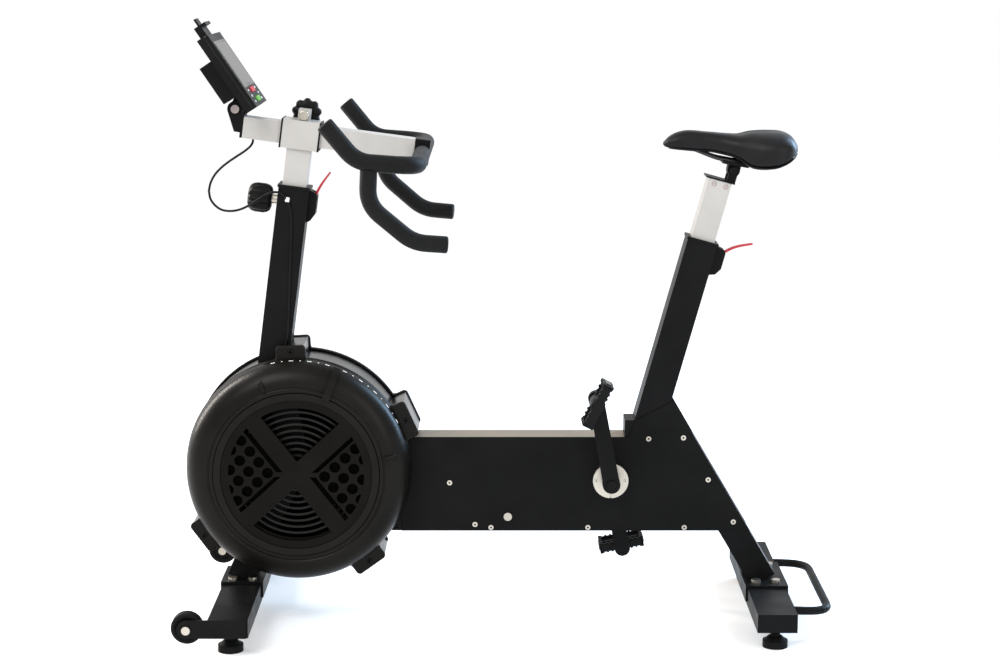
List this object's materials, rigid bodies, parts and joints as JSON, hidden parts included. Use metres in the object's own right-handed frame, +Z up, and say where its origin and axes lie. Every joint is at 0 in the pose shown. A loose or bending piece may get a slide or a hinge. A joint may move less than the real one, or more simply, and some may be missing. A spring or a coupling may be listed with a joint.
{
  "type": "exercise bike",
  "caption": "Upright air-resistance exercise bike with a domed fan, sliding handlebar and seat posts, console, cranks, pedals and transport wheels.",
  "frame": {"origin": "middle of the footprint, on the floor", "axes": "+X to the rear of the bike, +Y to its far side with the front on the left, +Z up"},
  "size_m": [1.239, 0.588, 1.156],
  "materials": {
    "frame_black": "satin black powder coat",
    "panel_black": "satin black panel",
    "housing_black": "fine-grained black plastic",
    "slider_silver": "warm silver paint",
    "bright_steel": "zinc-plated steel",
    "rail_steel": "drawn steel bar",
    "alloy": "cast and turned",
    "black_plastic": "moulded black plastic",
    "lever_red": "red coated lever",
    "foam": "closed-cell foam",
    "foot_rubber": "moulded rubber",
    "cable_black": "cable jacket",
    "saddle_cover": "black synthetic leather",
    "screen_grey": "liquid-crystal display",
    "key_red": "moulded key",
    "key_green": "moulded key"
  },
  "bodies": {
    "frame": {"front_post": "frame_black", "front_fork": "frame_black", "main_beam": "frame_black", "seat_tube": "frame_black", "rear_leg": "frame_black", "side_panel_left": "panel_black", "side_panel_right": "panel_black", "frame_fasteners": "bright_steel", "front_stabiliser": "frame_black", "rear_stabiliser": "frame_black", "fan_shell_left": "housing_black", "fan_shell_right": "housing_black", "fan_band": "housing_black", "fan_grilles": "housing_black", "fan_guards": "housing_black", "fan_axle": "bright_steel", "bearings": "bright_steel", "bearing_housings": "bright_steel", "drive_belt": "foot_rubber", "post_clamp": "frame_black", "seat_clamp": "frame_black", "console_cable_lower": "cable_black"},
    "crank": {"crank_axle": "bright_steel", "crank_left": "panel_black", "crank_right": "panel_black", "crank_pulley": "alloy", "pedal_spindles": "bright_steel"},
    "pedal_left": {"pedal_left": "black_plastic"},
    "pedal_right": {"pedal_right": "black_plastic"},
    "fan": {"fan_wheel": "alloy", "fan_pulley": "alloy"},
    "idler": {"belt_idler": "black_plastic"},
    "damper": {"damper_ring": "housing_black"},
    "wheel_left": {"transport_wheel_left": "foot_rubber"},
    "wheel_right": {"transport_wheel_right": "foot_rubber"},
    "foot_front_left": {"foot_front_left": "foot_rubber"},
    "foot_front_right": {"foot_front_right": "foot_rubber"},
    "foot_rear_left": {"foot_rear_left": "foot_rubber"},
    "foot_rear_right": {"foot_rear_right": "foot_rubber"},
    "post_lever": {"post_lever": "lever_red"},
    "seat_lever": {"seat_lever": "lever_red"},
    "post_knob": {"post_knob": "black_plastic"},
    "stem_knob": {"stem_knob": "black_plastic"},
    "handlebar_post": {"handlebar_slider": "slider_silver"},
    "stem": {"stem": "slider_silver", "handlebar": "frame_black", "grips": "foam", "console_bracket": "frame_black", "console_cable_upper": "cable_black"},
    "console": {"console_back": "black_plastic", "console_front": "black_plastic", "console_screen": "screen_grey"},
    "key_stop": {"key_stop": "key_red"},
    "key_start": {"key_start": "key_green"},
    "phone_clip": {"phone_clip": "black_plastic"},
    "seat_post": {"seat_slider": "slider_silver"},
    "saddle": {"saddle_clamp": "frame_black", "saddle_rails": "rail_steel", "saddle_base": "black_plastic", "saddle_cushion": "saddle_cover"}
  },
  "joints": [
    {"name": "crank_spin", "type": "hinge", "parent": "frame", "child": "crank", "pos_m": [0.2008, 0, 0.2755], "axis": [0, 1, 0], "continuous": true},
    {"name": "fan_spin", "type": "hinge", "parent": "frame", "child": "fan", "pos_m": [-0.399, 0, 0.303], "axis": [0, 1, 0], "continuous": true},
    {"name": "idler_spin", "type": "hinge", "parent": "frame", "child": "idler", "pos_m": [0.0026, 0, 0.2185], "axis": [0, 1, 0], "continuous": true},
    {"name": "pedal_left_spin", "type": "hinge", "parent": "crank", "child": "pedal_left", "pos_m": [0.1704, -0.125, 0.44276], "axis": [0, 1, 0], "continuous": true},
    {"name": "pedal_right_spin", "type": "hinge", "parent": "crank", "child": "pedal_right", "pos_m": [0.2312, 0.125, 0.10824], "axis": [0, 1, 0], "continuous": true},
    {"name": "damper_turn", "type": "hinge", "parent": "frame", "child": "damper", "pos_m": [-0.399, -0.11, 0.303], "axis": [0, -1, 0], "range_deg": [-54, 34]},
    {"name": "wheel_left_spin", "type": "hinge", "parent": "frame", "child": "wheel_left", "pos_m": [-0.5895, -0.2695, 0.0525], "axis": [0, 1, 0], "continuous": true},
    {"name": "wheel_right_spin", "type": "hinge", "parent": "frame", "child": "wheel_right", "pos_m": [-0.5895, 0.2695, 0.0525], "axis": [0, 1, 0], "continuous": true},
    {"name": "foot_front_left_turn", "type": "hinge", "parent": "frame", "child": "foot_front_left", "pos_m": [-0.513, -0.245, 0.02], "axis": [0, 0, 1], "range_deg": [-180, 180]},
    {"name": "foot_front_right_turn", "type": "hinge", "parent": "frame", "child": "foot_front_right", "pos_m": [-0.513, 0.245, 0.02], "axis": [0, 0, 1], "range_deg": [-180, 180]},
    {"name": "foot_rear_left_turn", "type": "hinge", "parent": "frame", "child": "foot_rear_left", "pos_m": [0.502, -0.22, 0.02], "axis": [0, 0, 1], "range_deg": [-180, 180]},
    {"name": "foot_rear_right_turn", "type": "hinge", "parent": "frame", "child": "foot_rear_right", "pos_m": [0.502, 0.22, 0.02], "axis": [0, 0, 1], "range_deg": [-180, 180]},
    {"name": "post_lever_swing", "type": "hinge", "parent": "frame", "child": "post_lever", "pos_m": [-0.3647, 0, 0.81883], "axis": [0, 1, 0], "range_deg": [0, 85]},
    {"name": "seat_lever_swing", "type": "hinge", "parent": "frame", "child": "seat_lever", "pos_m": [0.41114, 0, 0.70962], "axis": [0, 1, 0], "range_deg": [0, 75]},
    {"name": "post_knob_turn", "type": "hinge", "parent": "frame", "child": "post_knob", "pos_m": [-0.43488, 0, 0.81458], "axis": [-0.9912, 0, 0.1323], "range_deg": [-180, 0]},
    {"name": "handlebar_height", "type": "slide", "parent": "frame", "child": "handlebar_post", "axis": [0.1323, 0, 0.9912], "range_m": [-0.036, 0.12], "deforming": ["console_cable_lower"]},
    {"name": "stem_knob_turn", "type": "hinge", "parent": "handlebar_post", "child": "stem_knob", "pos_m": [-0.38209, 0, 0.97584], "axis": [0, 1, 0], "range_deg": [-180, 0]},
    {"name": "stem_slide", "type": "slide", "parent": "handlebar_post", "child": "stem", "axis": [0.9912, 0, -0.1323], "range_m": [-0.1, 0.035], "deforming": ["console_cable_upper"]},
    {"name": "console_tilt", "type": "hinge", "parent": "stem", "child": "console", "pos_m": [-0.5106, 0, 0.9882], "axis": [0, 1, 0], "range_deg": [-20, 16]},
    {"name": "key_stop_press", "type": "slide", "parent": "console", "child": "key_stop", "axis": [-0.831, 0, -0.5563], "range_m": [0, 0.0015], "stiffness_N_per_m": 300},
    {"name": "key_start_press", "type": "slide", "parent": "console", "child": "key_start", "axis": [-0.831, 0, -0.5563], "range_m": [0, 0.0015], "stiffness_N_per_m": 300},
    {"name": "phone_clip_slide", "type": "slide", "parent": "console", "child": "phone_clip", "axis": [-0.5563, 0, 0.831], "range_m": [0, 0.04], "stiffness_N_per_m": 60},
    {"name": "seat_height", "type": "slide", "parent": "frame", "child": "seat_post", "axis": [0.2672, 0, 0.9636], "range_m": [-0.1, 0.15]},
    {"name": "saddle_tilt", "type": "hinge", "parent": "seat_post", "child": "saddle", "pos_m": [0.43042, 0, 0.87083], "axis": [0, 1, 0], "range_deg": [-12, 12]}
  ],
  "couplings": [
    {"joint": "fan_spin", "follows": "crank_spin", "ratio": 4.006},
    {"joint": "idler_spin", "follows": "crank_spin", "ratio": -4.664}
  ]
}
